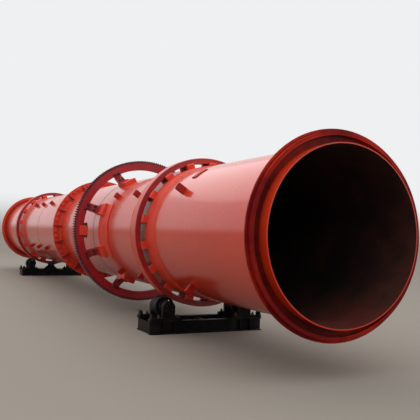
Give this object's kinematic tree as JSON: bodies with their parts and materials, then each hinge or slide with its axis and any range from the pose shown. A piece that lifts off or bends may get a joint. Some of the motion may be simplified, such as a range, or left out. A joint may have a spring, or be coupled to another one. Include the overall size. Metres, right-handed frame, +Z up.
{
  "type": "rotary drum dryer",
  "caption": "Long open steel drum with riding rings, girth gear and seal rings, turning on support rollers in two low steel stations.",
  "frame": {"origin": "on the ground under the middle of the drum", "axes": "+Y along the drum from its near end to its far end, +Z up, +X to the right seen from the near end"},
  "size_m": [2.548, 17.03, 2.68],
  "materials": {
    "shell_paint": "glossy orange-red paint",
    "belt_paint": "matt orange primer",
    "ring_paint": "crimson paint",
    "gear_paint": "crimson paint, dark teeth",
    "seat_steel": "dark greased steel",
    "bolt_steel": "dull dark steel",
    "pad_paint": "red paint",
    "station_paint": "black paint, dusty",
    "roller_steel": "dark oiled steel"
  },
  "bodies": {
    "root": {"near_front_beam": "station_paint", "near_rear_beam": "station_paint", "near_cross_plates": "station_paint", "near_bearings": "station_paint", "near_screw_stands": "station_paint", "far_front_beam": "station_paint", "far_rear_beam": "station_paint", "far_cross_plates": "station_paint", "far_bearings": "station_paint", "far_screw_stands": "station_paint", "thrust_stands": "station_paint"},
    "drum": {"near_shell": "shell_paint", "far_shell": "shell_paint", "near_seal_ring": "ring_paint", "far_seal_ring": "ring_paint", "near_mid_flange": "belt_paint", "far_mid_flange": "belt_paint", "near_mid_gussets": "belt_paint", "far_mid_gussets": "belt_paint", "near_tyre": "ring_paint", "far_tyre": "ring_paint", "near_tyre_belt": "belt_paint", "far_tyre_belt": "belt_paint", "near_tyre_seats": "seat_steel", "far_tyre_seats": "seat_steel", "near_tyre_stops": "belt_paint", "far_tyre_stops": "belt_paint", "gear_upper_half": "gear_paint", "gear_lower_half": "gear_paint", "gear_joint_bolts": "bolt_steel", "gear_belt": "belt_paint", "gear_feet": "belt_paint", "gear_springs": "ring_paint", "near_shell_pads": "pad_paint", "far_shell_pads": "pad_paint"},
    "near_left_roller": {"near_left_roller": "roller_steel"},
    "near_right_roller": {"near_right_roller": "roller_steel"},
    "far_left_roller": {"far_left_roller": "roller_steel"},
    "far_right_roller": {"far_right_roller": "roller_steel"},
    "near_thrust_roller": {"near_thrust_roller": "roller_steel"},
    "far_thrust_roller": {"far_thrust_roller": "roller_steel"}
  },
  "joints": [
    {"name": "drum_spin", "type": "hinge", "parent": "root", "child": "drum", "pos_m": [0, 0, 1.40595], "axis": [0, 1, 0], "continuous": true},
    {"name": "near_left_roller_spin", "type": "hinge", "parent": "root", "child": "near_left_roller", "pos_m": [-0.59676, -5.265, 0.3576], "axis": [0, 1, 0], "continuous": true},
    {"name": "near_right_roller_spin", "type": "hinge", "parent": "root", "child": "near_right_roller", "pos_m": [0.59676, -5.265, 0.3576], "axis": [0, 1, 0], "continuous": true},
    {"name": "far_left_roller_spin", "type": "hinge", "parent": "root", "child": "far_left_roller", "pos_m": [-0.59676, 5.265, 0.3576], "axis": [0, 1, 0], "continuous": true},
    {"name": "far_right_roller_spin", "type": "hinge", "parent": "root", "child": "far_right_roller", "pos_m": [0.59676, 5.265, 0.3576], "axis": [0, 1, 0], "continuous": true},
    {"name": "near_thrust_roller_spin", "type": "hinge", "parent": "root", "child": "near_thrust_roller", "pos_m": [0, 5.05, 0.368], "axis": [0, 0, 1], "continuous": true},
    {"name": "far_thrust_roller_spin", "type": "hinge", "parent": "root", "child": "far_thrust_roller", "pos_m": [0, 5.48, 0.368], "axis": [0, 0, 1], "continuous": true}
  ],
  "couplings": [
    {"joint": "near_left_roller_spin", "follows": "drum_spin", "ratio": -7.6143},
    {"joint": "near_right_roller_spin", "follows": "drum_spin", "ratio": -7.6143},
    {"joint": "far_left_roller_spin", "follows": "drum_spin", "ratio": -7.6143},
    {"joint": "far_right_roller_spin", "follows": "drum_spin", "ratio": -7.6143}
  ]
}
